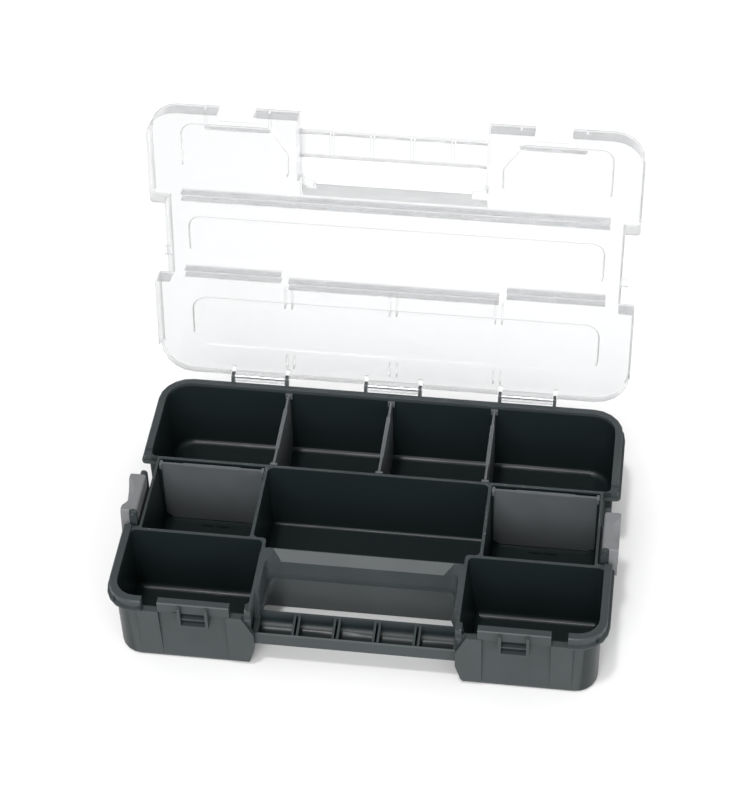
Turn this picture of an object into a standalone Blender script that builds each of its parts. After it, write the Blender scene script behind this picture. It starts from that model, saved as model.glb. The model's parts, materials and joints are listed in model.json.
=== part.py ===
"""Parts organizer: a compartment tray with a clear hinged lid, built as an assembly.

World frame in metres: X to the right, Y to the back, Z up.  The origin is the bottom centre of the tray.
Every size below is in millimetres; MM turns it into metres.
"""
import math

import bmesh
import bpy
from mathutils import Vector

MM = 0.001
COLLECTION_NAME = "parts_organizer"
CUTTER_COLLECTION_NAME = "cutters"

# Overall size of the tray, measured over the rim
WIDTH = 375.0
DEPTH = 240.0
RIM_TOP = 67.8
HALF_W = WIDTH / 2
HALF_D = DEPTH / 2

# Tray walls and rim
WALL_INSET = 4.2            # outer wall face, measured in from the rim
FOOT_INSET = 4.8            # same face at the bottom, after the draft
FOOT_RADIUS = 3.0
RIM_THICKNESS = 6.0
RIM_BOTTOM = 60.0
FLANGE_BOTTOM = 58.0
FLANGE_OUT = 2.0
RIM_END_LENGTH = 6.0        # lower end of the rear rim, beside the waist
RIM_END_DROP = 1.8
INNER_TOP = 65.4            # tops of the inner walls and of the dividers
INNER_WALL = 2.4
FLOOR = 2.5
FLOOR_FILLET = 5.0
DRAFT = 1.2
REAR_CORNER = 25.0
FRONT_CORNER = 22.0
ABOVE = 90.0                # cutters end up here, clear of everything

# The waist, where the sides step in to make room for the latches
WAIST_REAR = 32.0
WAIST_FRONT = -43.0
WAIST_X = 176.0
WAIST_WALL = 2.0

# Compartment walls (centre lines)
MID_WALL_Y = 31.2
CENTRE_WALL_X = 88.2
FRONT_WALL_Y = -45.4
GRIP_WALL_X = 77.6

# Handle recess and grip bar at the front
BAND_REAR = -55.0
BAND_FRONT = -64.0
BAND_TOP = 67.0
BAND_INNER_X = 73.8
BAND_STEP_Y = -99.5
BAND_CORNER = 8.0
BAND_SIDE = 79.2              # rounded outer corners of the band, just outside its walls
BAND_BACK = -54.6
FACET_X = 62.0                # sloped facet along the back of the band
FACET_RUN_OUT = 7.5
FACET_HEIGHT = 4.8
LEDGE_Z = 46.0
HOLE_X = 70.5
HOLE_REAR = -67.0
POCKET_BOTTOM_X = 81.6
POCKET_BOTTOM_Y = -55.4
BAR_FRONT = -113.4
BAR_REAR = -92.0
BAR_BOTTOM = 21.5
BAR_TOP_FRONT = 34.6
BAR_TOP_REAR = 37.3
CELL_COUNT = 5
CELL_PITCH = 30.6
CELL_WIDTH = 25.4
CELL_RADIUS = 9.2
CELL_FLOOR = 1.8
CELL_SLOT = 1.8               # narrow slot between two cells

# Front catches, one on each side of the handle
CATCH_X = 120.0
PLATE_HALF = 27.2
GAP_OUTER = 39.6
GAP_INNER = 39.0
GAP_BOTTOM = 57.2
LOOP_HALF = 11.5
LOOP_BAR = 2.2
LOOP_FRONT = -124.0
LOOP_BOTTOM = 47.0
HOOK_LEDGE_Z = (52.4, 54.2)
RIB_FRONT = -119.6
RIB_FOOT_Z = 5.0
OUTER_RIB = (27.5, 43.5)      # measured outward from the middle of the catch
INNER_RIB_FAR = 24.0          # and inward from it
INNER_RIB_CORNER = 8.6
INNER_RIB_LOW = 37.8          # where its slanted edge meets the grip bar
FRONT_WALL_INSIDE = -114.7   # a place inside the front wall, where its fittings take root

# Lid, described in its closed position
LID_TOP = 76.0
LID_WALL = 1.6
SKIRT_WALL = 1.3
LID_OUT = 1.9               # lid outline outside the rim
SKIRT_BOTTOM = 60.4
REAR_SKIRT_BOTTOM = 68.2
SKIRT_STEP_Y = 92.0
PANEL_RAISE = 1.2
PANEL_X = 163.5
REAR_PANEL_Y = (53.5, 99.0)
WAIST_PANEL_Y = (-21.5, 18.5)
CORNER_PANEL_X = (82.0, 166.0)
CORNER_PANEL_Y = (-104.0, -59.0)
CORNER_PANEL_CUT = 22.0
WELL_X = 71.4
SHOULDER_X = 59.8             # raised corners of the well, over the tray's band
SHOULDER_FRONT = -71.0
SHOULDER_REAR = -57.5
SHOULDER_TOP = 69.2
WELL_TOP_Y = -47.4
WELL_EDGE_Y = -65.2
WELL_Z = 64.4
GRIP_TOP_Z = 62.5
GRIP_BOTTOM_Z = 57.0
NOTCH_HALF = 14.0
NOTCH_REAR = -108.0
HOUSING_HALF = 25.5
HOUSING_REAR = -103.4
RIDGE = 1.3
RIDGE_GAP = 2.8
RIDGE_BOTTOM = 66.2
TAB_REACH = (0.9, 6.6)        # small lift tabs on the waist edges
TAB_REAR = 13.6
OPEN_ANGLE = 99.4

# Lid hinges
HINGE_Y = 124.1
HINGE_Z = 70.1
HINGE_X = (-108.8, 0.0, 108.8)
EAR_RADIUS = 3.6
EAR_FOOT = [(118.6, 66.0), (118.6, 57.0), (121.5, 56.0)]
EAR_THICK = 2.5
EAR_HALF = 23.3
KNUCKLE_HALF = 20.3
KNUCKLE_RADIUS = 4.2
PIN_RADIUS = 1.2
PIN_HOLE = 1.6

# Side latches, on a pin that runs along Y
LATCH_PIN_X = 180.9
LATCH_PIN_Z = 74.0
LATCH_INNER = 178.4
LATCH_OUTER = 191.2
LATCH_REAR = 1.0
LATCH_FRONT = -35.6
LATCH_LEG_FRONT = -40.2
LATCH_TOP = 76.5
LATCH_BOTTOM = 57.0
LATCH_LEG_BOTTOM = 49.0
LATCH_LEG_INNER = 184.2
SCOOP_CENTRE_X = 195.5         # finger scoop: a ball-shaped cut in the outer top edge
SCOOP_CENTRE_Z = 79.0
SCOOP_SIZE = (11.0, 16.5, 19.0)
LUG_OUTER = 183.6
LUG_TOP_RADIUS = 2.7
BRACKET_TOP = 56.2
BRACKET_BOTTOM = 44.0
REAR_LUG_Y = (1.6, 5.4)
FRONT_LUG_Y = (-39.4, -36.0)

# Removable dividers
DIVIDER_X = (-83.6, 0.0, 83.6)
SIDE_DIVIDER_Y = 25.6
DIVIDER_THICK = 1.8
BEAD_THICK = 3.0
BEAD_HEIGHT = 2.4
BAR_LENGTH = 2.0               # cross bar at each end, over the rails
REAR_LIFT = 0.5                # gap under a divider
SIDE_LIFT = 1.4
RAIL_THICK = 1.4
RAIL_OUT = 2.2
RAIL_TOP = 60.0
NUB_Y = 19.2                  # low floor ribs in front of each side divider
NUB_LENGTH = 9.6
NUB_GAP = 3.0
NUB_WIDTH = 1.4
NUB_HEIGHT = 1.2
BEAD_SHARE = 0.54             # part of a divider's width that has the thicker top edge
FIT_GAP = 0.45


# ---------------------------------------------------------------- scene and materials

def clear_scene():
    for item in list(bpy.data.objects):
        bpy.data.objects.remove(item, do_unlink=True)


def new_collection(name):
    collection = bpy.data.collections.new(name)
    bpy.context.scene.collection.children.link(collection)
    return collection


def plastic(name, color, roughness, alpha=1.0, metallic=0.0):
    material = bpy.data.materials.new(name)
    material.use_nodes = True
    shader = material.node_tree.nodes["Principled BSDF"]
    shader.inputs["Base Color"].default_value = (*color, 1.0)
    shader.inputs["Roughness"].default_value = roughness
    shader.inputs["Metallic"].default_value = metallic
    shader.inputs["Alpha"].default_value = alpha
    material.diffuse_color = (*color, alpha)
    return material


# ---------------------------------------------------------------- outlines and solids

def rounded(corners, inset=0.0, segments=5):
    """Outline through corners (x, y, radius), counter-clockwise, moved inward by inset."""
    points = []
    for index, (x, y, radius) in enumerate(corners):
        here = Vector((x, y))
        before = Vector(corners[index - 1][:2])
        after = Vector(corners[(index + 1) % len(corners)][:2])
        along_in = (here - before).normalized()
        along_out = (after - here).normalized()
        normal_in = Vector((-along_in.y, along_in.x))
        normal_out = Vector((-along_out.y, along_out.x))
        turn = math.atan2(along_in.cross(along_out), along_in.dot(along_out))
        side = math.copysign(1.0, turn)
        bend = max(radius - inset, 0.1) if side > 0 else radius
        diagonal = (normal_in + normal_out) / (1 + normal_in.dot(normal_out))
        centre = here + diagonal * (inset + side * bend)
        spoke = -normal_in * side * bend
        for step in range(segments + 1):
            angle = turn * step / segments
            turned = Vector((
                spoke.x * math.cos(angle) - spoke.y * math.sin(angle),
                spoke.x * math.sin(angle) + spoke.y * math.cos(angle),
            ))
            points.append(centre + turned)
    return points


def box_corners(x0, x1, y0, y1, radius=0.1):
    return [(x0, y0, radius), (x1, y0, radius), (x1, y1, radius), (x0, y1, radius)]


def add_loft(mesh, sections, segments=5):
    """Closed solid through sections (z, corners, inset), listed from the bottom up."""
    loops = []
    for z, corners, inset in sections:
        verts = [mesh.verts.new((p.x * MM, p.y * MM, z * MM)) for p in rounded(corners, inset, segments)]
        edges = [mesh.edges.new((verts[i - 1], verts[i])) for i in range(len(verts))]
        loops.append((verts, edges))
    for (_, lower), (_, upper) in zip(loops, loops[1:]):
        bmesh.ops.bridge_loops(mesh, edges=lower + upper)
    mesh.faces.new(loops[0][0])
    mesh.faces.new(loops[-1][0])


def add_box(mesh, x, y, z):
    """Box between the limits x, y and z, each given as (low, high)."""
    cube = bmesh.ops.create_cube(mesh, size=1.0)
    centre = Vector((sum(x) / 2, sum(y) / 2, sum(z) / 2)) * MM
    size = Vector((x[1] - x[0], y[1] - y[0], z[1] - z[0])) * MM
    bmesh.ops.scale(mesh, vec=size, verts=cube["verts"])
    bmesh.ops.translate(mesh, vec=centre, verts=cube["verts"])


def add_prism(mesh, profile, axis, low, high):
    """Solid with a flat profile, pushed along axis "X" (profile in y, z) or "Y" (profile in x, z)."""
    def place(point, along):
        a, b = point
        return (along * MM, a * MM, b * MM) if axis == "X" else (a * MM, along * MM, b * MM)

    face = mesh.faces.new([mesh.verts.new(place(point, low)) for point in profile])
    pushed = bmesh.ops.extrude_face_region(mesh, geom=[face])
    verts = [item for item in pushed["geom"] if isinstance(item, bmesh.types.BMVert)]
    shift = Vector(place((0.0, 0.0), high - low))
    bmesh.ops.translate(mesh, vec=shift, verts=verts)


def arc(centre, radius, start, end, steps=10):
    """Points of an arc in degrees, from start to end."""
    points = []
    for step in range(steps + 1):
        angle = math.radians(start + (end - start) * step / steps)
        points.append((centre[0] + radius * math.cos(angle), centre[1] + radius * math.sin(angle)))
    return points


def add_rod(mesh, axis, centre, radius, low, high, segments=24):
    """Round rod along axis "X" (centre in y, z) or "Y" (centre in x, z)."""
    add_prism(mesh, arc(centre, radius, 0, 360 - 360 / segments, segments - 1), axis, low, high)


def solid(name, collection, material=None, builder=None):
    """New object whose mesh is filled in by builder(mesh)."""
    mesh = bmesh.new()
    builder(mesh)
    bmesh.ops.recalc_face_normals(mesh, faces=mesh.faces)
    data = bpy.data.meshes.new(name)
    mesh.to_mesh(data)
    mesh.free()
    item = bpy.data.objects.new(name, data)
    collection.objects.link(item)
    if material is not None:
        data.materials.append(material)
    return item


def combine(target, operation, name, builder, cutters, parent=None):
    """Add or cut a helper solid with an exact Boolean on the target."""
    helper = solid(name, cutters, builder=builder)
    helper.hide_render = True
    helper.display_type = "WIRE"
    helper.parent = parent
    modifier = target.modifiers.new(name, "BOOLEAN")
    modifier.operation = operation
    modifier.solver = "EXACT"
    modifier.object = helper
    return helper


# ---------------------------------------------------------------- outlines of the tray and the lid

def dogbone(waist_x, waist_rear, waist_front, step_radius):
    """Plan of the whole tray: wide at both ends and drawn in at the waist."""
    return [
        (-HALF_W, -HALF_D, FRONT_CORNER),
        (HALF_W, -HALF_D, FRONT_CORNER),
        (HALF_W, waist_front, step_radius),
        (waist_x, waist_front, step_radius),
        (waist_x, waist_rear, step_radius),
        (HALF_W, waist_rear, step_radius),
        (HALF_W, HALF_D, REAR_CORNER),
        (-HALF_W, HALF_D, REAR_CORNER),
        (-HALF_W, waist_rear, step_radius),
        (-waist_x, waist_rear, step_radius),
        (-waist_x, waist_front, step_radius),
        (-HALF_W, waist_front, step_radius),
    ]


def rear_section():
    return [
        (-HALF_W, WAIST_REAR, 1.5),
        (HALF_W, WAIST_REAR, 1.5),
        (HALF_W, HALF_D, REAR_CORNER),
        (-HALF_W, HALF_D, REAR_CORNER),
    ]


def front_section():
    return [
        (-HALF_W, -HALF_D, FRONT_CORNER),
        (HALF_W, -HALF_D, FRONT_CORNER),
        (HALF_W, WAIST_FRONT, 1.5),
        (-HALF_W, WAIST_FRONT, 1.5),
    ]


def fillet_steps(corners, bottom, top, draft, radius, steps=3):
    """Sections of a hollow with a rounded floor edge and slightly drafted walls."""
    sections = []
    for step in range(steps + 1):
        angle = math.radians(90 * step / steps)
        sections.append((bottom + radius * (1 - math.cos(angle)), corners,
                         draft + radius * (1 - math.sin(angle))))
    sections.append((top, corners, 0.0))
    sections.append((ABOVE, corners, 0.0))
    return sections


# ---------------------------------------------------------------- tray

def tray_body(mesh):
    wall = dogbone(WAIST_X + WALL_INSET, WAIST_REAR + 0.6 - WALL_INSET, WAIST_FRONT + WALL_INSET, 2.0)
    add_loft(mesh, [
        (0.0, wall, FOOT_INSET + FOOT_RADIUS),
        (FOOT_RADIUS * 0.3, wall, FOOT_INSET + FOOT_RADIUS * 0.3),
        (FOOT_RADIUS, wall, FOOT_INSET),
        (INNER_TOP, wall, WALL_INSET),
    ])


def tray_rims(mesh):
    for section in (rear_section(), front_section()):
        add_loft(mesh, [
            (FLANGE_BOTTOM, section, -FLANGE_OUT),
            (RIM_BOTTOM - 0.6, section, -FLANGE_OUT),
            (RIM_BOTTOM, section, 0.0),
            (RIM_TOP - 0.8, section, 0.0),
            (RIM_TOP, section, 0.8),
        ])


def tray_hollows(mesh):
    half_wall = INNER_WALL / 2
    inner_x = HALF_W - RIM_THICKNESS
    inner_y = HALF_D - RIM_THICKNESS
    waist_in = WAIST_X - WAIST_WALL
    rear_low = MID_WALL_Y + half_wall
    rear_row = [(-inner_x, rear_low, 4), (inner_x, rear_low, 4),
                (inner_x, inner_y, REAR_CORNER - RIM_THICKNESS),
                (-inner_x, inner_y, REAR_CORNER - RIM_THICKNESS)]
    add_loft(mesh, fillet_steps(rear_row, FLOOR, INNER_TOP, DRAFT, FLOOR_FILLET))

    mid_low = FRONT_WALL_Y + half_wall
    mid_high = MID_WALL_Y - half_wall
    side_in = CENTRE_WALL_X + half_wall
    centre = [
        (-GRIP_WALL_X + half_wall, BAND_REAR, 3),
        (GRIP_WALL_X - half_wall, BAND_REAR, 3),
        (GRIP_WALL_X - half_wall, mid_low, 3),
        (CENTRE_WALL_X - half_wall, mid_low, 4),
        (CENTRE_WALL_X - half_wall, mid_high, 5),
        (-CENTRE_WALL_X + half_wall, mid_high, 5),
        (-CENTRE_WALL_X + half_wall, mid_low, 4),
        (-GRIP_WALL_X + half_wall, mid_low, 3),
    ]
    add_loft(mesh, fillet_steps(centre, FLOOR, INNER_TOP, DRAFT, FLOOR_FILLET * 0.6))

    for side in (-1, 1):
        x_limits = sorted((side * side_in, side * waist_in))
        small = box_corners(*x_limits, mid_low, mid_high, 1.4)
        add_loft(mesh, fillet_steps(small, FLOOR, INNER_TOP, DRAFT, FLOOR_FILLET))
        front_pocket(mesh, side, half_wall, inner_x, inner_y)


def front_pocket(mesh, side, half_wall, inner_x, inner_y):
    """Front compartment; its wall beside the handle flares outward at the bottom."""
    flare = POCKET_BOTTOM_X - (GRIP_WALL_X - half_wall)
    inner_side = GRIP_WALL_X + half_wall
    rear = FRONT_WALL_Y - half_wall

    def corners(near):
        wide = FRONT_CORNER - RIM_THICKNESS
        if side < 0:
            return [(-inner_x, -inner_y, wide), (-near, -inner_y, 4), (-near, rear, 4), (-inner_x, rear, 4)]
        return [(near, -inner_y, 4), (inner_x, -inner_y, wide), (inner_x, rear, 4), (near, rear, 4)]

    low = corners(inner_side + flare)
    high = corners(inner_side)
    fillet = fillet_steps(low, FLOOR, INNER_TOP, DRAFT, FLOOR_FILLET)[:4]
    add_loft(mesh, fillet + [(INNER_TOP, high, 0.0), (ABOVE, high, 0.0)])


def top_trims(mesh):
    inner_x = HALF_W - RIM_THICKNESS
    add_box(mesh, (-inner_x, inner_x), (FRONT_WALL_Y - 3, MID_WALL_Y + 4), (INNER_TOP, ABOVE))
    add_box(mesh, (-GRIP_WALL_X - 2, GRIP_WALL_X + 2), (-HALF_D - 5, FRONT_WALL_Y - 3.5), (BAND_TOP, ABOVE))


def band_corners(mesh):
    """Rounds the two rear corners of the raised band round the handle."""
    near, far = FACET_X, BAND_SIDE + 3.0
    front, rear = HOLE_REAR - 3.0, FRONT_WALL_Y - 2.6
    right = [(far, front, 0.1), (far, rear, 0.1), (near, rear, 0.1), (near, BAND_BACK, 0.1),
             (BAND_SIDE, BAND_BACK, BAND_CORNER), (BAND_SIDE, front, 0.1)]
    left = [(-x, y, radius) for x, y, radius in reversed(right)]
    for plan in (left, right):
        add_loft(mesh, [(INNER_TOP, plan, 0.0), (ABOVE, plan, 0.0)], segments=6)


def rim_ends(mesh):
    """The rear rim steps down just before it ends at the waist."""
    for side in (-1, 1):
        limits = sorted((side * (HALF_W - RIM_THICKNESS - 0.5), side * (HALF_W + FLANGE_OUT + 1.0)))
        y_limits = (WAIST_REAR - 1.0, WAIST_REAR + RIM_END_LENGTH)
        add_box(mesh, limits, y_limits, (RIM_TOP - RIM_END_DROP, ABOVE))


def under_pocket(mesh):
    front = -HALF_D - 10
    low = box_corners(-POCKET_BOTTOM_X, POCKET_BOTTOM_X, front, POCKET_BOTTOM_Y, 5)
    high = box_corners(-HOLE_X, HOLE_X, front, HOLE_REAR, 5)
    add_loft(mesh, [(-2.0, low, -0.2), (LEDGE_Z + 0.5, high, 0.0)])


def front_opening(mesh):
    wide = GRIP_WALL_X - INNER_WALL / 2
    low = box_corners(-POCKET_BOTTOM_X, POCKET_BOTTOM_X, -HALF_D - 12, BAND_STEP_Y, 0.5)
    high = box_corners(-wide, wide, -HALF_D - 12, BAND_STEP_Y, 0.5)
    add_loft(mesh, [(-3.0, low, -0.2), (INNER_TOP, high, 0.0), (ABOVE, high, 0.0)])


def upper_recess(mesh):
    recess = box_corners(-BAND_INNER_X, BAND_INNER_X, BAND_STEP_Y - 12, BAND_FRONT, 8)
    add_loft(mesh, [(LEDGE_Z, recess, 0.8), (BAND_TOP, recess, 0.0), (ABOVE, recess, 0.0)])


def band_facet(mesh):
    """Facet that slopes the back of the band down to the recess and runs out before the corners."""
    front = BAND_FRONT - 1.2
    low = box_corners(-FACET_X, FACET_X, front, BAND_FRONT, 0.4)
    wide = FACET_X + FACET_RUN_OUT
    high = box_corners(-wide, wide, front, BAND_REAR - 0.6, 0.4)
    sections = [(BAND_TOP - FACET_HEIGHT, low, 0.0), (BAND_TOP, high, 0.0), (ABOVE, high, 0.0)]
    add_loft(mesh, sections, segments=2)


def catch_gaps(mesh):
    """Gaps in the rim on both sides of each front catch."""
    for side in (-1, 1):
        outer = sorted((side * (CATCH_X + GAP_OUTER), side * (CATCH_X + PLATE_HALF)))
        inner = sorted((side * (CATCH_X - PLATE_HALF), side * (CATCH_X - GAP_INNER)))
        for limits in (outer, inner):
            add_box(mesh, limits, (-HALF_D - 6, -HALF_D + RIM_THICKNESS + 0.3), (GAP_BOTTOM, ABOVE))


def plate_fronts(mesh):
    """The catch plates have no flange."""
    for side in (-1, 1):
        plate = sorted((side * (CATCH_X - PLATE_HALF - 1), side * (CATCH_X + PLATE_HALF + 1)))
        add_box(mesh, plate, (-HALF_D - 6, -HALF_D + 0.2), (FLANGE_BOTTOM - 2, RIM_BOTTOM + 0.4))


def grip_bar(mesh):
    profile = [(BAR_FRONT, BAR_BOTTOM + 1.5), (BAR_FRONT + 1.5, BAR_BOTTOM), (BAR_REAR - 1.5, BAR_BOTTOM),
               (BAR_REAR, BAR_BOTTOM + 1.5), (BAR_REAR, BAR_TOP_REAR), (BAR_FRONT + 2.5, BAR_TOP_FRONT - 0.6),
               (BAR_FRONT + 1.2, BAR_TOP_FRONT), (BAR_FRONT, BAR_TOP_FRONT - 0.8)]
    add_prism(mesh, profile, "X", -GRIP_WALL_X - 0.4, GRIP_WALL_X + 0.4)


def grip_cells(mesh):
    """Scooped cells in the bar, with a narrow slot between neighbours."""
    middle = (BAR_FRONT + BAR_REAR) / 2
    floor_centre = BAR_BOTTOM + CELL_FLOOR + CELL_RADIUS
    for index in range(CELL_COUNT):
        x = (index - (CELL_COUNT - 1) / 2) * CELL_PITCH
        bowl = arc((middle, floor_centre), CELL_RADIUS, 180, 360, 10)
        profile = bowl + [(middle + CELL_RADIUS, 60.0), (middle - CELL_RADIUS, 60.0)]
        add_prism(mesh, profile, "X", x - CELL_WIDTH / 2, x + CELL_WIDTH / 2)
        if index:
            slot = x - CELL_PITCH / 2
            slot_y = (middle - CELL_RADIUS + 0.6, middle + CELL_RADIUS - 0.6)
            add_box(mesh, (slot - CELL_SLOT / 2, slot + CELL_SLOT / 2), slot_y, (BAR_BOTTOM + 6, 60.0))


def rib(mesh, x0, x1):
    """Rib on the front wall that fades out toward the floor."""
    back = FRONT_WALL_INSIDE
    profile = [(back, GAP_BOTTOM), (RIB_FRONT, GAP_BOTTOM), (-HALF_D + FOOT_INSET - 0.2, RIB_FOOT_Z),
               (back, RIB_FOOT_Z)]
    add_prism(mesh, profile, "X", x0, x1)


def inner_rib(mesh, side):
    """Rib beside the handle, cut off at a slant down to the grip bar."""
    near = GRIP_WALL_X - INNER_WALL / 2 - 0.4
    corner = CATCH_X - PLATE_HALF - INNER_RIB_CORNER
    far = CATCH_X - INNER_RIB_FAR
    outline = [(far, RIB_FOOT_Z), (near + 4.4, RIB_FOOT_Z), (near, BAR_BOTTOM), (near, INNER_RIB_LOW),
               (corner, GAP_BOTTOM), (far, GAP_BOTTOM)]
    back = FRONT_WALL_INSIDE
    start = len(mesh.verts)
    add_prism(mesh, [(side * x, z) for x, z in outline], "Y", RIB_FRONT, back)
    mesh.verts.ensure_lookup_table()
    for vert in mesh.verts[start:]:
        if vert.co.y < (back - 1.0) * MM:
            drop = (GAP_BOTTOM - vert.co.z / MM) / (GAP_BOTTOM - RIB_FOOT_Z)
            vert.co.y += drop * (FOOT_INSET - 0.2 + RIB_FRONT + HALF_D - 0.8) * MM * 0.75


def catch_loop(mesh, side):
    """Square loop that hangs from the catch plate, with a small hook ledge inside."""
    x = side * CATCH_X
    back = FRONT_WALL_INSIDE
    top = RIM_TOP - 0.6
    inside = LOOP_HALF - LOOP_BAR
    shelf = LOOP_BOTTOM + LOOP_BAR
    outline = [(x - LOOP_HALF, top), (x - LOOP_HALF, LOOP_BOTTOM), (x + LOOP_HALF, LOOP_BOTTOM),
               (x + LOOP_HALF, top), (x + inside, top), (x + inside, shelf), (x - inside, shelf),
               (x - inside, top)]
    add_prism(mesh, outline, "Y", LOOP_FRONT, back)


def hook_ledges(mesh):
    back = FRONT_WALL_INSIDE
    for side in (-1, 1):
        x = side * CATCH_X
        add_box(mesh, (x - LOOP_HALF + 0.6, x + LOOP_HALF - 0.6), (-HALF_D - 1.4, back), HOOK_LEDGE_Z)


def hinge_ears(mesh):
    axis = (HINGE_Y, HINGE_Z)
    profile = arc(axis, EAR_RADIUS, -40, 165) + EAR_FOOT
    for centre in HINGE_X:
        for side in (-1, 1):
            limits = sorted((centre + side * EAR_HALF, centre + side * (EAR_HALF - EAR_THICK)))
            add_prism(mesh, profile, "X", *limits)


def latch_shelves(mesh):
    """Shelf on each waist wall, below the latch."""
    wall = WAIST_X - 0.8
    for side in (-1, 1):
        add_box(mesh, sorted((side * wall, side * LUG_OUTER)), (FRONT_LUG_Y[0], REAR_LUG_Y[1]),
                (BRACKET_BOTTOM, BRACKET_TOP))


def latch_lugs(mesh, side):
    """Lug at each end of the shelf, which holds the latch pin."""
    pin = (side * LATCH_PIN_X, LATCH_PIN_Z)
    inner = side * (LATCH_PIN_X - LUG_TOP_RADIUS)
    outer = side * (LATCH_PIN_X + LUG_TOP_RADIUS)
    for low, high in (REAR_LUG_Y, FRONT_LUG_Y):
        top = arc(pin, LUG_TOP_RADIUS, 0, 180, 10)
        if side < 0:
            profile = top + [(outer, BRACKET_TOP - 2), (inner, BRACKET_TOP - 2)]
        else:
            profile = top + [(inner, BRACKET_TOP - 2), (outer, BRACKET_TOP - 2)]
        add_prism(mesh, profile, "Y", low, high)


def rail_pair(mesh, across, wall, direction, axis):
    """Two guide ribs on a wall, one on each side of a divider slot."""
    near = DIVIDER_THICK / 2 + FIT_GAP
    for sign in (-1, 1):
        spread = sorted((across + sign * near, across + sign * (near + RAIL_THICK)))
        reach = sorted((wall - direction * 0.9, wall + direction * RAIL_OUT))
        x_limits, y_limits = (spread, reach) if axis == "X" else (reach, spread)
        add_box(mesh, x_limits, y_limits, (FLOOR - 1.0, RAIL_TOP))


def divider_rails(mesh):
    half_wall = INNER_WALL / 2
    for x in DIVIDER_X:
        rail_pair(mesh, x, MID_WALL_Y + half_wall, 1, "X")
        rail_pair(mesh, x, HALF_D - RIM_THICKNESS, -1, "X")
    for side in (-1, 1):
        rail_pair(mesh, SIDE_DIVIDER_Y, side * (CENTRE_WALL_X + half_wall), side, "Y")
        rail_pair(mesh, SIDE_DIVIDER_Y, side * (WAIST_X - WAIST_WALL), -side, "Y")


def floor_nubs(mesh, side):
    centre = side * (CENTRE_WALL_X + INNER_WALL / 2 + WAIST_X - WAIST_WALL) / 2
    for sign in (-1, 1):
        ends = sorted((centre + sign * NUB_GAP / 2, centre + sign * (NUB_GAP / 2 + NUB_LENGTH)))
        add_box(mesh, ends, (NUB_Y - NUB_WIDTH / 2, NUB_Y + NUB_WIDTH / 2), (FLOOR - 0.5, FLOOR + NUB_HEIGHT))


def tray_fittings(mesh):
    for side in (-1, 1):
        outer = sorted(side * (CATCH_X + offset) for offset in OUTER_RIB)
        rib(mesh, *outer)
        inner_rib(mesh, side)
        catch_loop(mesh, side)
        latch_lugs(mesh, side)
        floor_nubs(mesh, side)
    hinge_ears(mesh)


def pin_holes(mesh):
    for centre in HINGE_X:
        add_rod(mesh, "X", (HINGE_Y, HINGE_Z), PIN_HOLE, centre - EAR_HALF - 2, centre + EAR_HALF + 2)
    for side in (-1, 1):
        add_rod(mesh, "Y", (side * LATCH_PIN_X, LATCH_PIN_Z), PIN_HOLE, FRONT_LUG_Y[0] - 2, REAR_LUG_Y[1] + 2)


def build_tray(parts, cutters, material):
    tray = solid("base_tray", parts, material, tray_body)
    steps = [
        ("UNION", tray_rims), ("DIFFERENCE", tray_hollows), ("DIFFERENCE", top_trims),
        ("DIFFERENCE", band_corners), ("DIFFERENCE", rim_ends), ("DIFFERENCE", under_pocket),
        ("DIFFERENCE", front_opening), ("DIFFERENCE", upper_recess), ("DIFFERENCE", band_facet),
        ("DIFFERENCE", catch_gaps), ("DIFFERENCE", plate_fronts), ("UNION", grip_bar),
        ("DIFFERENCE", grip_cells), ("UNION", latch_shelves), ("UNION", tray_fittings),
        ("UNION", hook_ledges), ("UNION", divider_rails), ("DIFFERENCE", pin_holes),
    ]
    for operation, builder in steps:
        combine(tray, operation, builder.__name__, builder, cutters)


# ---------------------------------------------------------------- lid

def lid_outline():
    return dogbone(WAIST_X, WAIST_REAR - 0.2, WAIST_FRONT + 0.2, 1.5)


def raised_panels():
    """Plans of the raised panels on top of the lid."""
    near, far = CORNER_PANEL_X
    front, rear = CORNER_PANEL_Y
    right = [(near, rear, 8), (near, front + CORNER_PANEL_CUT, 6), (near + CORNER_PANEL_CUT * 0.7, front, 6),
             (far, front, 10), (far, rear, 8)]
    left = [(-x, y, radius) for x, y, radius in reversed(right)]
    rear_panel = box_corners(-PANEL_X, PANEL_X, *REAR_PANEL_Y, 12)
    waist_panel = box_corners(-PANEL_X, PANEL_X, *WAIST_PANEL_Y, 10)
    return [rear_panel, waist_panel, left, right]


def lid_body(mesh):
    plan = lid_outline()
    add_loft(mesh, [
        (SKIRT_BOTTOM, plan, -LID_OUT),
        (LID_TOP - 1.5, plan, -LID_OUT + 0.5),
        (LID_TOP, plan, -LID_OUT + 2.0),
    ])


def lid_panels(mesh):
    for plan in raised_panels():
        add_loft(mesh, [(LID_TOP - 0.5, plan, 0.0), (LID_TOP, plan, 0.0), (LID_TOP + PANEL_RAISE, plan, 1.2)])


def lid_hollow(mesh):
    plan = lid_outline()
    inner = -LID_OUT + SKIRT_WALL
    add_loft(mesh, [
        (SKIRT_BOTTOM - 5, plan, inner),
        (LID_TOP - LID_WALL - 1.0, plan, inner + 0.3),
        (LID_TOP - LID_WALL, plan, inner + 1.4),
    ])


def panel_hollows(mesh):
    for plan in raised_panels():
        top = LID_TOP + PANEL_RAISE - LID_WALL
        add_loft(mesh, [(LID_TOP - LID_WALL - 0.8, plan, 1.2), (top, plan, 2.2)])


def well_profile(down):
    """Side view of the sloped finger well and of the grip strip, moved down by a thickness."""
    return [(WELL_TOP_Y + down * 0.6, LID_TOP - down), (WELL_EDGE_Y, WELL_Z - down),
            (BAR_REAR, GRIP_TOP_Z - down), (-HALF_D - 1.0, GRIP_TOP_Z - down)]


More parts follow.
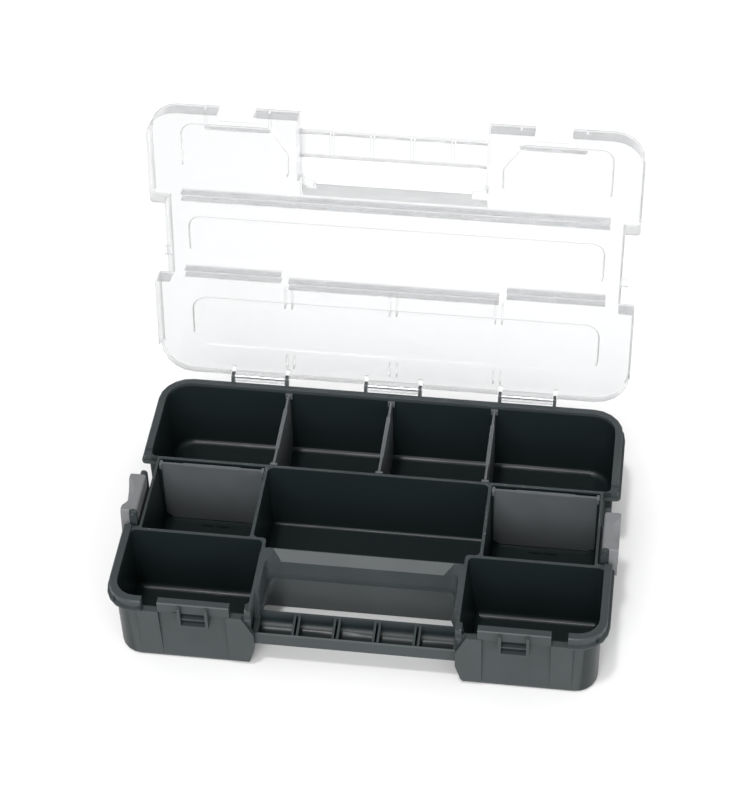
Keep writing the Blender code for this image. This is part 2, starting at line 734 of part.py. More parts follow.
def well_shell(mesh):
    """Block that fills the well region before it is cut open from above."""
    profile = well_profile(LID_WALL) + [(-HALF_D - 1.0, LID_TOP - 0.4), (WELL_TOP_Y + 2, LID_TOP - 0.4)]
    add_prism(mesh, profile, "X", -WELL_X - LID_WALL, WELL_X + LID_WALL)


def well_cut(mesh):
    profile = well_profile(0.0) + [(-HALF_D - 10, GRIP_TOP_Z), (-HALF_D - 10, ABOVE), (WELL_TOP_Y, ABOVE)]
    add_prism(mesh, profile, "X", -WELL_X, WELL_X)


def grip_front_cut(mesh):
    """Everything in front of the grip strip between the two front corners of the lid."""
    add_box(mesh, (-WELL_X, WELL_X), (-HALF_D - 14, BAR_FRONT), (30.0, ABOVE))


def grip_ladder(mesh):
    """Skirts and ribs under the grip strip of the lid."""
    top = GRIP_TOP_Z - 0.5
    bottom = GRIP_BOTTOM_Z
    side = WELL_X + LID_WALL
    for low in (BAR_FRONT, BAR_REAR - LID_WALL):
        add_box(mesh, (-side, side), (low, low + LID_WALL), (bottom, top))


def grip_ribs(mesh):
    top = GRIP_TOP_Z - 0.5
    for index in range(1, CELL_COUNT):
        x = (index - CELL_COUNT / 2) * CELL_PITCH
        for offset in (-1.8, 0.6):
            x_limits = (x + offset, x + offset + 1.2)
            add_box(mesh, x_limits, (BAR_FRONT + 1, BAR_REAR - 1), (GRIP_BOTTOM_Z + 0.4, top))


def well_sides(mesh):
    """Side walls between the high lid corners and the low grip strip."""
    profile = [(BAR_FRONT, GRIP_BOTTOM_Z), (WELL_EDGE_Y, GRIP_BOTTOM_Z), (WELL_TOP_Y - 4, LID_TOP - 6.0),
               (WELL_TOP_Y, LID_TOP - 0.5), (-HALF_D, LID_TOP - 0.5), (-HALF_D, RIM_TOP + 1.0),
               (BAR_FRONT, RIM_TOP + 1.0)]
    for side in (-1, 1):
        limits = sorted((side * WELL_X, side * (WELL_X + LID_WALL)))
        add_prism(mesh, profile, "X", *limits)


def finger_hole(mesh):
    hole = box_corners(-HOLE_X + 0.5, HOLE_X - 0.5, BAR_REAR, WELL_EDGE_Y, 6)
    add_loft(mesh, [(30.0, hole, 0.0), (ABOVE, hole, 0.0)])


def well_shoulders(mesh):
    """Raised lower corners of the well, which pass over the flat part of the tray's band."""
    profile = [(SHOULDER_FRONT + 0.3, SHOULDER_TOP - 2.2), (WELL_EDGE_Y, WELL_Z - 0.8),
               (SHOULDER_REAR, SHOULDER_TOP - 0.7), (SHOULDER_REAR + 0.5, SHOULDER_TOP),
               (SHOULDER_FRONT + 0.3, SHOULDER_TOP)]
    for side in (-1, 1):
        limits = sorted((side * SHOULDER_X, side * (WELL_X + 0.8)))
        add_prism(mesh, profile, "X", *limits)


def shoulder_hollows(mesh):
    for side in (-1, 1):
        limits = sorted((side * (SHOULDER_X + LID_WALL), side * (WELL_X + LID_WALL + 2.0)))
        add_box(mesh, limits, (SHOULDER_FRONT, BAND_REAR + 3.0), (50.0, SHOULDER_TOP - LID_WALL))


def rear_skirt_cut(mesh):
    """The skirt is short along the back, so that the lid can swing."""
    add_box(mesh, (-HALF_W - 10, HALF_W + 10), (SKIRT_STEP_Y, HALF_D + 20), (50.0, REAR_SKIRT_BOTTOM))


def lid_knuckles(mesh):
    for centre in HINGE_X:
        profile = arc((HINGE_Y, HINGE_Z), KNUCKLE_RADIUS, -110, 105, 14)
        skirt = HALF_D + LID_OUT - 0.9
        profile += [(skirt, HINGE_Z + 4.0), (skirt, REAR_SKIRT_BOTTOM + 0.2)]
        add_prism(mesh, profile, "X", centre - KNUCKLE_HALF, centre + KNUCKLE_HALF)


def lid_ridges(mesh):
    """Pairs of ridges that sit over the walls and dividers of the tray."""
    top = LID_TOP - LID_WALL + 0.6
    z_limits = (RIDGE_BOTTOM, top)
    centre_x = CENTRE_WALL_X
    edge = WAIST_X - 10.0
    for sign in (-1, 1):
        offset = sign * RIDGE_GAP
        for wall_y, x0, x1 in ((MID_WALL_Y, -centre_x + 5, centre_x - 5),
                               (FRONT_WALL_Y + 1.4, -edge, edge)):
            y = wall_y + offset
            add_box(mesh, (x0, x1), (y - RIDGE / 2, y + RIDGE / 2), z_limits)
        for side in (-1, 1):
            x_limits = sorted((side * (centre_x + 1), side * edge))
            y = SIDE_DIVIDER_Y + offset
            add_box(mesh, x_limits, (y - RIDGE / 2, y + RIDGE / 2), z_limits)
    for x in DIVIDER_X:
        for sign in (-1, 1):
            middle = x + sign * RIDGE_GAP
            for y_limits in ((MID_WALL_Y + 5, 53.0), (101.5, 112.0)):
                add_box(mesh, (middle - RIDGE / 2, middle + RIDGE / 2), y_limits, z_limits)


def catch_notches(mesh):
    for side in (-1, 1):
        x = side * CATCH_X
        notch = box_corners(x - NOTCH_HALF, x + NOTCH_HALF, -HALF_D - 10, NOTCH_REAR, 2)
        add_loft(mesh, [(50.0, notch, 0.0), (ABOVE, notch, 0.0)])


def catch_housings(mesh):
    """Low wall round each notch on the underside of the lid."""
    front = -HALF_D - LID_OUT + 0.9
    for side in (-1, 1):
        x = side * CATCH_X
        outer = HOUSING_HALF
        inner = HOUSING_HALF - LID_WALL
        plan = [(x - outer, front, 0.1), (x - inner, front, 0.1), (x - inner, HOUSING_REAR - LID_WALL, 0.5),
                (x + inner, HOUSING_REAR - LID_WALL, 0.5), (x + inner, front, 0.1), (x + outer, front, 0.1),
                (x + outer, HOUSING_REAR, 2.0), (x - outer, HOUSING_REAR, 2.0)]
        add_loft(mesh, [(RIM_TOP + 0.7, plan, 0.0), (LID_TOP - 0.5, plan, 0.0)], segments=3)


def ear_slots(mesh):
    for centre in HINGE_X:
        for side in (-1, 1):
            limits = sorted((centre + side * (KNUCKLE_HALF - 0.01), centre + side * (EAR_HALF + 0.6)))
            add_box(mesh, limits, (HINGE_Y - 6.4, HALF_D + 20), (50.0, ABOVE))


def side_tabs(mesh):
    """Small lift tabs on the waist edges of the lid."""
    for side in (-1, 1):
        limits = sorted(side * (WAIST_X + reach) for reach in TAB_REACH)
        add_box(mesh, limits, (REAR_LUG_Y[1] + 0.8, TAB_REAR), (LID_TOP - 4.0, LID_TOP - 1.2))


def lid_pin_holes(mesh):
    for centre in HINGE_X:
        add_rod(mesh, "X", (HINGE_Y, HINGE_Z), PIN_HOLE, centre - EAR_HALF, centre + EAR_HALF)


def build_lid(parts, cutters, material):
    """The lid is modelled closed, with its origin on the hinge axis, and then swung open."""
    lid = solid("lid", parts, material, lid_body)
    steps = [
        ("UNION", lid_panels), ("DIFFERENCE", lid_hollow), ("DIFFERENCE", panel_hollows),
        ("UNION", well_shell), ("DIFFERENCE", well_cut), ("UNION", well_sides),
        ("DIFFERENCE", grip_front_cut), ("UNION", grip_ladder), ("UNION", grip_ribs),
        ("UNION", well_shoulders), ("DIFFERENCE", shoulder_hollows),
        ("DIFFERENCE", finger_hole), ("UNION", lid_ridges),
        ("UNION", catch_housings),
        ("DIFFERENCE", catch_notches), ("DIFFERENCE", rear_skirt_cut), ("UNION", lid_knuckles),
        ("UNION", side_tabs), ("DIFFERENCE", ear_slots), ("DIFFERENCE", lid_pin_holes),
    ]
    axis = Vector((0.0, HINGE_Y, HINGE_Z)) * MM
    helpers = []
    for operation, builder in steps:
        helpers.append(combine(lid, operation, builder.__name__, builder, cutters, parent=lid))
    for item in [lid] + helpers:
        for vert in item.data.vertices:
            vert.co -= axis
    lid.location = axis
    lid.rotation_euler = (-math.radians(OPEN_ANGLE), 0.0, 0.0)


# ---------------------------------------------------------------- pins, latches and dividers

def build_hinge_pins(parts, material):
    for name, centre in zip(("left", "centre", "right"), HINGE_X):
        def rod(mesh):
            add_rod(mesh, "X", (0.0, 0.0), PIN_RADIUS, -EAR_HALF - 0.4, EAR_HALF + 0.4)

        pin = solid("hinge_pin_" + name, parts, material, rod)
        pin.location = Vector((centre, HINGE_Y, HINGE_Z)) * MM


def latch_body(mesh, side):
    """Latch measured from its pin: a block with a rounded hinge edge."""
    outer = LATCH_OUTER - LATCH_PIN_X
    inner = LATCH_INNER - LATCH_PIN_X
    top = LATCH_TOP - LATCH_PIN_Z
    bottom = LATCH_BOTTOM - LATCH_PIN_Z
    points = [(outer, bottom + 2.0)]
    points += arc((outer - 2.0, top - 2.0), 2.0, 0, 90, 4)
    points += arc((0.0, 0.0), top, 90, 180, 6)
    points += [(inner, bottom), (outer - 2.0, bottom)]
    add_prism(mesh, [(side * x, z) for x, z in points], "Y", LATCH_FRONT, LATCH_REAR)


def latch_leg(mesh, side):
    outline = [(LATCH_LEG_FRONT, LATCH_LEG_BOTTOM + 3), (LATCH_LEG_FRONT + 2, LATCH_LEG_BOTTOM),
               (LATCH_FRONT + 0.4, LATCH_LEG_BOTTOM), (LATCH_FRONT + 1.2, LATCH_TOP - 0.3),
               (LATCH_FRONT - 0.6, LATCH_TOP - 0.3), (LATCH_FRONT - 2.0, LATCH_TOP - 2.5)]
    outline = [(y, z - LATCH_PIN_Z) for y, z in outline]
    limits = sorted((side * (LATCH_LEG_INNER - LATCH_PIN_X), side * (LATCH_OUTER - LATCH_PIN_X - 0.2)))
    add_prism(mesh, outline, "X", *limits)


def latch_scoop(mesh, side):
    """Finger scoop in the outer top edge of the latch."""
    ball = bmesh.ops.create_uvsphere(mesh, u_segments=20, v_segments=12, radius=1.0)
    bmesh.ops.scale(mesh, vec=Vector(SCOOP_SIZE) * MM, verts=ball["verts"])
    middle = (LATCH_FRONT + LATCH_REAR) / 2 - 0.5
    centre = Vector((side * (SCOOP_CENTRE_X - LATCH_PIN_X), middle, SCOOP_CENTRE_Z - LATCH_PIN_Z))
    bmesh.ops.translate(mesh, vec=centre * MM, verts=ball["verts"])


def latch_pin_hole(mesh):
    add_rod(mesh, "Y", (0.0, 0.0), PIN_HOLE, LATCH_FRONT - 8, LATCH_REAR + 4)


def build_latches(parts, cutters, plastic_material, steel_material):
    for side, name in ((-1, "left"), (1, "right")):
        latch = solid("side_latch_" + name, parts, plastic_material, lambda mesh: latch_body(mesh, side))
        for operation, builder in (("UNION", latch_leg), ("DIFFERENCE", latch_scoop)):
            helper_name = builder.__name__ + "_" + name
            combine(latch, operation, helper_name, lambda mesh: builder(mesh, side), cutters, latch)
        combine(latch, "DIFFERENCE", "latch_bore_" + name, latch_pin_hole, cutters, latch)
        latch.location = Vector((side * LATCH_PIN_X, 0.0, LATCH_PIN_Z)) * MM

        def rod(mesh):
            add_rod(mesh, "Y", (0.0, 0.0), PIN_RADIUS, FRONT_LUG_Y[0] - 0.3, REAR_LUG_Y[1] + 0.3)

        pin = solid("latch_pin_" + name, parts, steel_material, rod)
        pin.location = Vector((side * LATCH_PIN_X, 0.0, LATCH_PIN_Z)) * MM


def divider_plate(mesh, low, high, axis, lift):
    """Plate that follows the drafted walls, with clipped lower corners, held a little above the floor."""
    clear = FIT_GAP
    bottom = FLOOR + lift
    clip = FLOOR_FILLET + 0.6
    left, right = low + clear, high - clear
    outline = [(left, INNER_TOP), (left + DRAFT, bottom + clip), (left + DRAFT + clip, bottom),
               (right - DRAFT - clip, bottom), (right - DRAFT, bottom + clip), (right, INNER_TOP)]
    add_prism(mesh, outline, axis, -DIVIDER_THICK / 2, DIVIDER_THICK / 2)


def divider_beads(mesh, low, high, axis):
    """Thicker top edge over the middle of a divider, and a cross bar over the rails at each end."""
    clear = FIT_GAP
    middle = (low + high) / 2
    reach = (high - low) * BEAD_SHARE / 2
    bead = (-BEAD_THICK / 2, BEAD_THICK / 2)
    bar_half = DIVIDER_THICK / 2 + FIT_GAP + RAIL_THICK
    spans = [((middle - reach, middle + reach), bead, (INNER_TOP - BEAD_HEIGHT, INNER_TOP + 0.01))]
    for start in (low + clear + 0.2, high - clear - 0.2 - BAR_LENGTH):
        spans.append(((start, start + BAR_LENGTH), (-bar_half, bar_half), (RAIL_TOP + 0.6, INNER_TOP + 0.01)))
    for along, across, z_limits in spans:
        x_limits, y_limits = (across, along) if axis == "X" else (along, across)
        add_box(mesh, x_limits, y_limits, z_limits)


def build_dividers(parts, cutters, material):
    half_wall = INNER_WALL / 2
    rear = ("X", MID_WALL_Y + half_wall, HALF_D - RIM_THICKNESS, REAR_LIFT)
    side_low = CENTRE_WALL_X + half_wall
    side_high = WAIST_X - WAIST_WALL
    names = ("left", "centre", "right")
    slots = [("divider_rear_" + name, (x, 0.0), *rear) for name, x in zip(names, DIVIDER_X)]
    slots.append(("divider_side_left", (0.0, SIDE_DIVIDER_Y), "Y", -side_high, -side_low, SIDE_LIFT))
    slots.append(("divider_side_right", (0.0, SIDE_DIVIDER_Y), "Y", side_low, side_high, SIDE_LIFT))
    for name, (x, y), axis, low, high, lift in slots:
        plate = solid(name, parts, material, lambda mesh: divider_plate(mesh, low, high, axis, lift))
        beads = name + "_beads"
        combine(plate, "UNION", beads, lambda mesh: divider_beads(mesh, low, high, axis), cutters, plate)
        plate.location = Vector((x, y, 0.0)) * MM


def main():
    clear_scene()
    parts = new_collection(COLLECTION_NAME)
    cutters = new_collection(CUTTER_COLLECTION_NAME)
    tray_plastic = plastic("tray_plastic", (0.075, 0.085, 0.09), 0.5)
    clear_plastic = plastic("clear_plastic", (0.92, 0.94, 0.95), 0.08, alpha=0.3)
    grey_plastic = plastic("grey_plastic", (0.32, 0.31, 0.32), 0.5)
    divider_plastic = plastic("divider_plastic", (0.17, 0.18, 0.185), 0.5)
    steel = plastic("steel", (0.6, 0.6, 0.6), 0.3, metallic=1.0)
    build_tray(parts, cutters, tray_plastic)
    build_lid(parts, cutters, clear_plastic)
    build_hinge_pins(parts, steel)
    build_latches(parts, cutters, grey_plastic, steel)
    build_dividers(parts, cutters, divider_plastic)


main()
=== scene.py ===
"""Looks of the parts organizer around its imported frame: finishes, rounded edges, floor, light and camera."""

import json
import math

import bpy
from mathutils import Matrix, Vector


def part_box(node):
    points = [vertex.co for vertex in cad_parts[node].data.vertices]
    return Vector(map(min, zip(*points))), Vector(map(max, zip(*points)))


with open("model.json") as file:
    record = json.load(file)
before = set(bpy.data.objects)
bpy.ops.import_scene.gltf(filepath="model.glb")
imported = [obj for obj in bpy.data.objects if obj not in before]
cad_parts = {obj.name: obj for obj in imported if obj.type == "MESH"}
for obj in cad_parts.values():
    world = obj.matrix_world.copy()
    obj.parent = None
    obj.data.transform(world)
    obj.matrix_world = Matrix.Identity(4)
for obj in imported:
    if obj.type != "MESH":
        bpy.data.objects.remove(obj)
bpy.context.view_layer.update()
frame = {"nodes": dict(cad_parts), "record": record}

MM = 0.001

# Camera, at the usual three-quarter view from the front and above
CAMERA_AZIMUTH = 8.57
CAMERA_ELEVATION = 44.71
CAMERA_ROLL = -1.64
CAMERA_DISTANCE = 1.90994
CAMERA_RIGHT = 0.00081
CAMERA_UP = 0.12681
CAMERA_LENS = 108.38

# Edge rounding of each family of pieces, in millimetres
TRAY_ROUND = 0.35
LID_ROUND = 0.25
LATCH_ROUND = 0.5
DIVIDER_ROUND = 0.3
PIN_ROUND = 0.15

# Plastic colours, as linear values
TRAY_OUTSIDE = (0.034, 0.0412, 0.0432)
# Inner tray colour, darkened as painted shade that stands in for the shade deep in the compartments and
# grip-bar cells
TRAY_INSIDE_PAINTED_SHADE = (0.0095, 0.0148, 0.0158)
LATCH_COLOR = (0.15, 0.153, 0.16)
DIVIDER_COLOR = (0.079, 0.086, 0.09)
STEEL_COLOR = (0.56, 0.56, 0.57)
LID_GLASS = (0.965, 0.97, 0.975)
LID_TINT = (0.9, 0.903, 0.907)
LID_GLOSS_FACING = 0.25       # share of bending, glossy plastic seen face on, and at grazing angles
LID_GLOSS_EDGE = 0.55
FLOOR_COLOR = (0.82, 0.82, 0.82)
FLOOR_SIZE = 80.0             # in metres, so that the horizon stays far off in low views

# Studio light. Each lamp: name, direction it comes from, strength, and apparent width in degrees.
# The top lamp stands where the sloped facet behind the grip bar mirrors it into the main view.
SKY_STRENGTH = 0.62
LAMPS = (
    ("key", (-0.15, -1.5, 1.0), 2.15, 35.0),
    ("top", (-0.11, -0.25, 0.96), 1.1, 6.0),
    ("front", (1.3, -1.6, 0.5), 0.9, 35.0),
)

# Surface: roughness from and to, and the height of the moulded grain in metres
NOISE_RANGE = (0.3, 0.7)      # where most values of a noise lie
OUTSIDE_ROUGH = (0.36, 0.44)
INSIDE_ROUGH = (0.3, 0.38)
LID_ROUGH = (0.05, 0.12)
SATIN_ROUGH = (0.42, 0.52)    # latches and dividers
TRAY_SPECULAR = 0.28
CLEAR_IOR = 1.49
TRAY_GRAIN = 0.00003
SATIN_GRAIN = 0.00002
GRAIN_SCALE = 1500.0

# Clean-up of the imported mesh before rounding
WELD_DISTANCE = 0.000002      # in metres
SAME_FACE_ANGLE = 0.6         # in degrees
ROUND_FROM_ANGLE = 35.0       # edges sharper than this many degrees are rounded

# Shading: edges under this many degrees look rounded, except around the sloped facet behind the grip bar
SMOOTH_ANGLE = 32.0
FACET_ANGLE = 20.0
FACET_HALF = 70.0             # where the facet is, in millimetres
FACET_REAR = -55.0
FACET_LOW = 61.5

# Polished insides of the tray, also darkened as painted shade, in millimetres
WALL_MARGIN = 1.0             # how far the polish and the painted shade reach into a wall
RIM_WIDTH = 7.6
LIP = 0.4                     # grained edge at the top of each inner wall
FOOT = 1.2
WAIST_FRONT = -43.1
HANDLE_REAR = -54.9
HANDLE_HALF = 77.9
CELL_MARGIN = 2.9
CELL_DEPTH = 3.8
CELL_TOP = 33.9
BLEND = 0.4                   # width of the change from polish and painted shade to grain


# ---------------------------------------------------------------- node helpers

class Graph:
    """Short calls for building one material's node tree."""

    def __init__(self, name):
        self.material = bpy.data.materials.new(name)
        self.material.use_nodes = True
        self.tree = self.material.node_tree
        self.shader = self.tree.nodes["Principled BSDF"]

    def node(self, kind, **settings):
        made = self.tree.nodes.new("ShaderNode" + kind)
        for key, value in settings.items():
            setattr(made, key, value)
        return made

    def feed(self, socket, value):
        if isinstance(value, bpy.types.NodeSocket):
            self.tree.links.new(value, socket)
        else:
            socket.default_value = value

    def math(self, operation, first, second=0.0, clamp=False):
        made = self.node("Math", operation=operation, use_clamp=clamp)
        self.feed(made.inputs[0], first)
        self.feed(made.inputs[1], second)
        return made.outputs[0]

    def mix(self, share, first, second):
        made = self.node("Mix", data_type="RGBA")
        self.feed(made.inputs["Factor"], share)
        self.feed(made.inputs[6], first)
        self.feed(made.inputs[7], second)
        return made.outputs[2]

    def spread(self, value, low, high, to_low, to_high):
        """Maps value from low..high to to_low..to_high, clamped."""
        made = self.node("MapRange", interpolation_type="SMOOTHSTEP")
        self.feed(made.inputs["Value"], value)
        for name, number in (("From Min", low), ("From Max", high), ("To Min", to_low), ("To Max", to_high)):
            made.inputs[name].default_value = number
        return made.outputs["Result"]

    def noise(self, place, scale, detail=3.0, roughness=0.55):
        made = self.node("TexNoise")
        self.feed(made.inputs["Vector"], place)
        made.inputs["Scale"].default_value = scale
        made.inputs["Detail"].default_value = detail
        made.inputs["Roughness"].default_value = roughness
        return made.outputs["Fac"]

    def bump(self, height, strength, distance):
        made = self.node("Bump")
        made.inputs["Strength"].default_value = strength
        made.inputs["Distance"].default_value = distance
        self.feed(made.inputs["Height"], height)
        self.tree.links.new(made.outputs["Normal"], self.shader.inputs["Normal"])

    def place(self):
        return self.node("TexCoord").outputs["Object"]


def rgba(color):
    return (*color, 1.0)


def moulded_grain(graph, place, height):
    """Fine spark-eroded grain, with slow changes left by the flow of the plastic."""
    grain = graph.noise(place, GRAIN_SCALE, 2.0)
    flow = graph.noise(place, 22.0, 2.0)
    both = graph.math("ADD", grain, graph.math("MULTIPLY", flow, 0.25))
    graph.bump(both, 0.45, height)
    return grain, flow


# ---------------------------------------------------------------- materials

def bar_cells():
    """Low and high corners, in millimetres, of the row of cells in the grip bar."""
    boxes = [opening["box_m"] for opening in frame["record"]["physics"]["openings"]
             if opening["name"].startswith("grip_bar_cell")]
    low = [min(box[0][axis] for box in boxes) / MM for axis in range(3)]
    high = [max(box[1][axis] for box in boxes) / MM for axis in range(3)]
    return low, high


def polish_and_painted_shade_share(graph, place):
    """1 on the inner faces of the compartments and cells, which are polished and darkened as painted shade,
    and 0 on the grained outside.
    """
    split = graph.node("SeparateXYZ")
    graph.feed(split.inputs[0], place)
    x, y, z = split.outputs
    wide = graph.math("ABSOLUTE", x)

    def below(value, limit):
        return graph.spread(value, (limit - BLEND) * MM, (limit + BLEND) * MM, 1.0, 0.0)

    def above(value, limit):
        return graph.spread(value, (limit - BLEND) * MM, (limit + BLEND) * MM, 0.0, 1.0)

    def both(*shares):
        product = shares[0]
        for share in shares[1:]:
            product = graph.math("MULTIPLY", product, share)
        return product

    rear_low, rear_high = [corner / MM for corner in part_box("divider_rear_centre")]
    side_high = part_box("divider_side_right")[1] / MM
    tray_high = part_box("base_tray")[1] / MM
    inner_y = rear_high.y + WALL_MARGIN
    in_height = both(below(z, rear_high.z - LIP), above(z, FOOT))
    in_depth = both(below(y, inner_y), above(y, -inner_y))
    not_waist = graph.math("MAXIMUM", above(y, rear_low.y - WALL_MARGIN), below(y, WAIST_FRONT))
    in_waist = below(wide, side_high.x + WALL_MARGIN)
    in_width = both(below(wide, tray_high.x - RIM_WIDTH), graph.math("MAXIMUM", not_waist, in_waist))
    in_handle = both(below(wide, HANDLE_HALF), below(y, HANDLE_REAR))
    compartments = both(in_height, in_depth, in_width, graph.math("SUBTRACT", 1.0, in_handle))
    low, high = bar_cells()
    cells_across = both(above(y, low[1] - CELL_MARGIN), below(y, high[1] + CELL_MARGIN))
    cells_in_height = both(above(z, low[2] - CELL_DEPTH), below(z, CELL_TOP))
    cells = both(below(wide, high[0] + WALL_MARGIN), cells_across, cells_in_height)
    return graph.math("MAXIMUM", compartments, cells)


def tray_finish_and_painted_shade():
    graph = Graph("tray_plastic_finish_and_painted_shade")
    place = graph.place()
    grain, flow = moulded_grain(graph, place, TRAY_GRAIN)
    inside = polish_and_painted_shade_share(graph, place)
    tone = graph.spread(flow, *NOISE_RANGE, 0.93, 1.07)
    speck = graph.spread(grain, *NOISE_RANGE, 0.96, 1.04)
    shade = graph.math("MULTIPLY", tone, speck)
    outside_color = graph.node("Mix", data_type="RGBA", blend_type="MULTIPLY")
    outside_color.inputs["Factor"].default_value = 1.0
    outside_color.inputs[6].default_value = rgba(TRAY_OUTSIDE)
    graph.feed(outside_color.inputs[7], shade)
    # Painted shade: the inner faces take the darker inner colour in place of the shade in the deep
    # compartments; the roughness below is the real polish
    color = graph.mix(inside, outside_color.outputs[2], rgba(TRAY_INSIDE_PAINTED_SHADE))
    graph.feed(graph.shader.inputs["Base Color"], color)
    outside_rough = graph.spread(grain, *NOISE_RANGE, *OUTSIDE_ROUGH)
    inside_rough = graph.spread(flow, *NOISE_RANGE, *INSIDE_ROUGH)
    rough = graph.node("Mix", data_type="FLOAT")
    graph.feed(rough.inputs["Factor"], inside)
    graph.feed(rough.inputs[2], outside_rough)
    graph.feed(rough.inputs[3], inside_rough)
    graph.feed(graph.shader.inputs["Roughness"], rough.outputs[0])
    graph.shader.inputs["Specular IOR Level"].default_value = TRAY_SPECULAR
    return graph.material


def plain_plastic(name, color, rough_low, rough_high, grain_height):
    """Satin moulded plastic in one colour."""
    graph = Graph(name)
    place = graph.place()
    grain, flow = moulded_grain(graph, place, grain_height)
    darker = rgba([value * 0.94 for value in color])
    lighter = rgba([min(1.0, value * 1.06) for value in color])
    share = graph.spread(flow, *NOISE_RANGE, 0.0, 1.0)
    graph.feed(graph.shader.inputs["Base Color"], graph.mix(share, darker, lighter))
    graph.feed(graph.shader.inputs["Roughness"], graph.spread(grain, *NOISE_RANGE, rough_low, rough_high))
    graph.shader.inputs["Specular IOR Level"].default_value = 0.4
    return graph.material


def lid_finish():
    """Clear moulded plastic: partly seen straight through, partly bent and glossy, more at grazing angles."""
    graph = Graph("clear_plastic_finish")
    place = graph.place()
    flow = graph.noise(place, 30.0, 2.0)
    graph.bump(flow, 0.25, 0.00004)
    graph.shader.inputs["Base Color"].default_value = rgba(LID_GLASS)
    graph.feed(graph.shader.inputs["Roughness"], graph.spread(flow, 0.2, 0.8, *LID_ROUGH))
    graph.shader.inputs["Transmission Weight"].default_value = 1.0
    graph.shader.inputs["IOR"].default_value = CLEAR_IOR
    clear = graph.node("BsdfTransparent")
    clear.inputs["Color"].default_value = rgba(LID_TINT)
    slant = graph.node("Fresnel")
    slant.inputs["IOR"].default_value = CLEAR_IOR
    share = graph.spread(slant.outputs[0], 0.04, 0.6, LID_GLOSS_FACING, LID_GLOSS_EDGE)
    blend = graph.node("MixShader")
    graph.feed(blend.inputs[0], share)
    graph.tree.links.new(clear.outputs[0], blend.inputs[1])
    graph.tree.links.new(graph.shader.outputs[0], blend.inputs[2])
    graph.tree.links.new(blend.outputs[0], graph.tree.nodes["Material Output"].inputs["Surface"])
    return graph.material


def steel_finish():
    graph = Graph("steel_finish")
    place = graph.place()
    stretch = graph.node("Mapping")
    graph.feed(stretch.inputs["Vector"], place)
    stretch.inputs["Scale"].default_value = (0.2, 1.0, 1.0)
    lines = graph.noise(stretch.outputs["Vector"], 2500.0, 2.0)
    graph.shader.inputs["Base Color"].default_value = rgba(STEEL_COLOR)
    graph.shader.inputs["Metallic"].default_value = 1.0
    graph.feed(graph.shader.inputs["Roughness"], graph.spread(lines, *NOISE_RANGE, 0.22, 0.38))
    graph.bump(lines, 0.2, 0.00001)
    return graph.material


def paint(node, material):
    for place in node.material_slots:
        place.material = material
    if not node.material_slots:
        node.data.materials.append(material)


# ---------------------------------------------------------------- rounded edges

def angle_shading():
    """Node group that shades smooth across gentle edges and keeps sharp ones and the sloped facet's."""
    group = bpy.data.node_groups.new("shade_by_angle", "GeometryNodeTree")
    group.interface.new_socket("Geometry", in_out="INPUT", socket_type="NodeSocketGeometry")
    group.interface.new_socket("Geometry", in_out="OUTPUT", socket_type="NodeSocketGeometry")
    start = group.nodes.new("NodeGroupInput")
    end = group.nodes.new("NodeGroupOutput")
    faces = group.nodes.new("GeometryNodeSetShadeSmooth")
    edges = group.nodes.new("GeometryNodeSetShadeSmooth")
    edges.domain = "EDGE"
    edges.inputs["Shade Smooth"].default_value = False
    angle = group.nodes.new("GeometryNodeInputMeshEdgeAngle")
    place = group.nodes.new("GeometryNodeInputPosition")
    split = group.nodes.new("ShaderNodeSeparateXYZ")
    link = group.links.new
    link(place.outputs[0], split.inputs[0])

    def compute(operation, first, second):
        made = group.nodes.new("ShaderNodeMath")
        made.operation = operation
        for socket, value in zip(made.inputs, (first, second)):
            if isinstance(value, bpy.types.NodeSocket):
                link(value, socket)
            else:
                socket.default_value = value
        return made.outputs[0]

    wide = compute("ABSOLUTE", split.outputs["X"], 0.0)
    on_facet = compute("LESS_THAN", wide, FACET_HALF * MM)
    on_facet = compute("MULTIPLY", on_facet, compute("LESS_THAN", split.outputs["Y"], FACET_REAR * MM))
    on_facet = compute("MULTIPLY", on_facet, compute("GREATER_THAN", split.outputs["Z"], FACET_LOW * MM))
    limit = compute("SUBTRACT", math.radians(SMOOTH_ANGLE),
                    compute("MULTIPLY", on_facet, math.radians(SMOOTH_ANGLE - FACET_ANGLE)))
    steep = compute("GREATER_THAN", angle.outputs["Unsigned Angle"], limit)
    link(start.outputs[0], faces.inputs["Geometry"])
    link(faces.outputs["Geometry"], edges.inputs["Geometry"])
    link(steep, edges.inputs["Selection"])
    link(edges.outputs["Geometry"], end.inputs[0])
    return group


SHADING = angle_shading()


def round_edges(node, width):
    """Joins facets into whole faces, splits many-sided ones, rounds edges and keeps flat faces flat."""
    weld = node.modifiers.new("weld", "WELD")
    weld.merge_threshold = WELD_DISTANCE
    merge = node.modifiers.new("whole_faces", "DECIMATE")
    merge.decimate_type = "DISSOLVE"
    merge.angle_limit = math.radians(SAME_FACE_ANGLE)
    split = node.modifiers.new("simple_faces", "TRIANGULATE")
    split.min_vertices = 5
    bevel = node.modifiers.new("round", "BEVEL")
    bevel.width = width * MM
    bevel.segments = 2
    bevel.limit_method = "ANGLE"
    bevel.angle_limit = math.radians(ROUND_FROM_ANGLE)
    bevel.use_clamp_overlap = True
    shade = node.modifiers.new("shade", "NODES")
    shade.node_group = SHADING
    flat = node.modifiers.new("flat_faces", "WEIGHTED_NORMAL")
    flat.weight = 100
    flat.keep_sharp = True


# ---------------------------------------------------------------- floor, light and camera

def make_floor():
    bpy.ops.mesh.primitive_plane_add(size=FLOOR_SIZE, location=(0.0, 0.0, -0.0002))
    floor = bpy.context.object
    floor.name = "floor"
    graph = Graph("floor_paint")
    place = graph.place()
    cloud = graph.noise(place, 6.0, 2.0)
    darker = rgba([value * 0.995 for value in FLOOR_COLOR])
    graph.feed(graph.shader.inputs["Base Color"], graph.mix(cloud, darker, rgba(FLOOR_COLOR)))
    graph.shader.inputs["Roughness"].default_value = 0.9
    graph.shader.inputs["Specular IOR Level"].default_value = 0.0
    floor.data.materials.append(graph.material)


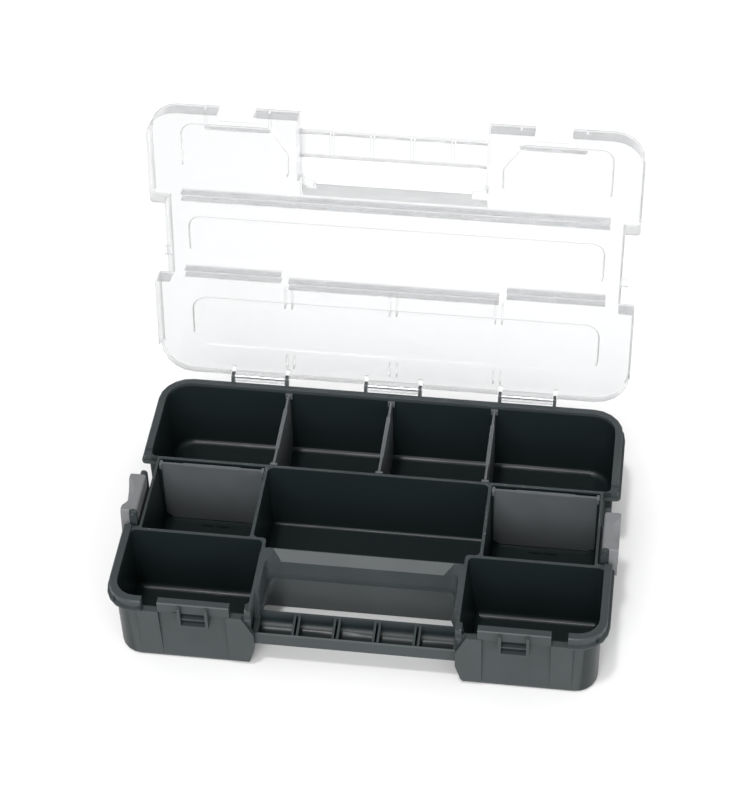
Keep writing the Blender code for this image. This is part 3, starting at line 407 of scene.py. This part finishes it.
def soft_light(name, toward, strength, spread):
    """Broad, even studio light that comes from the direction toward."""
    data = bpy.data.lights.new(name, "SUN")
    data.energy = strength
    data.angle = math.radians(spread)
    lamp = bpy.data.objects.new(name, data)
    bpy.context.scene.collection.objects.link(lamp)
    lamp.rotation_euler = (-Vector(toward)).to_track_quat("-Z", "Y").to_euler()


def make_light():
    world = bpy.data.worlds.new("studio")
    world.use_nodes = True
    sky = world.node_tree.nodes["Background"]
    sky.inputs["Color"].default_value = (1.0, 1.0, 1.0, 1.0)
    sky.inputs["Strength"].default_value = SKY_STRENGTH
    bpy.context.scene.world = world
    for lamp in LAMPS:
        soft_light(*lamp)


def make_camera():
    azimuth, elevation = math.radians(CAMERA_AZIMUTH), math.radians(CAMERA_ELEVATION)
    back = Vector((math.sin(azimuth) * math.cos(elevation), -math.cos(azimuth) * math.cos(elevation),
                   math.sin(elevation)))
    right = Vector((math.cos(azimuth), math.sin(azimuth), 0.0))
    up = back.cross(right)
    roll = math.radians(CAMERA_ROLL)
    turned_right = right * math.cos(roll) + up * math.sin(roll)
    turned_up = up * math.cos(roll) - right * math.sin(roll)
    place = back * CAMERA_DISTANCE + turned_right * CAMERA_RIGHT + turned_up * CAMERA_UP
    data = bpy.data.cameras.new("camera")
    data.lens = CAMERA_LENS
    camera = bpy.data.objects.new("camera", data)
    bpy.context.scene.collection.objects.link(camera)
    turn = Matrix((turned_right, turned_up, back)).transposed().to_4x4()
    camera.matrix_world = Matrix.Translation(place) @ turn
    bpy.context.scene.camera = camera


# ---------------------------------------------------------------- the scene

def family(name):
    """(finish, rounding) of a node, from its name."""
    if name == "base_tray":
        return "tray", TRAY_ROUND
    if name == "lid":
        return "lid", LID_ROUND
    if "pin" in name:
        return "steel", PIN_ROUND
    if "latch" in name:
        return "latch", LATCH_ROUND
    return "divider", DIVIDER_ROUND


finishes = {
    "tray": tray_finish_and_painted_shade(),
    "lid": lid_finish(),
    "steel": steel_finish(),
    "latch": plain_plastic("latch_plastic_finish", LATCH_COLOR, *SATIN_ROUGH, SATIN_GRAIN),
    "divider": plain_plastic("divider_plastic_finish", DIVIDER_COLOR, *SATIN_ROUGH, SATIN_GRAIN),
}
for node_name, node in frame["nodes"].items():
    finish, width = family(node_name)
    paint(node, finishes[finish])
    round_edges(node, width)
frame["nodes"]["lid"].visible_shadow = False

make_floor()
make_light()
make_camera()

bpy.context.scene.view_settings.view_transform = "Standard"
bpy.context.view_layer.update()
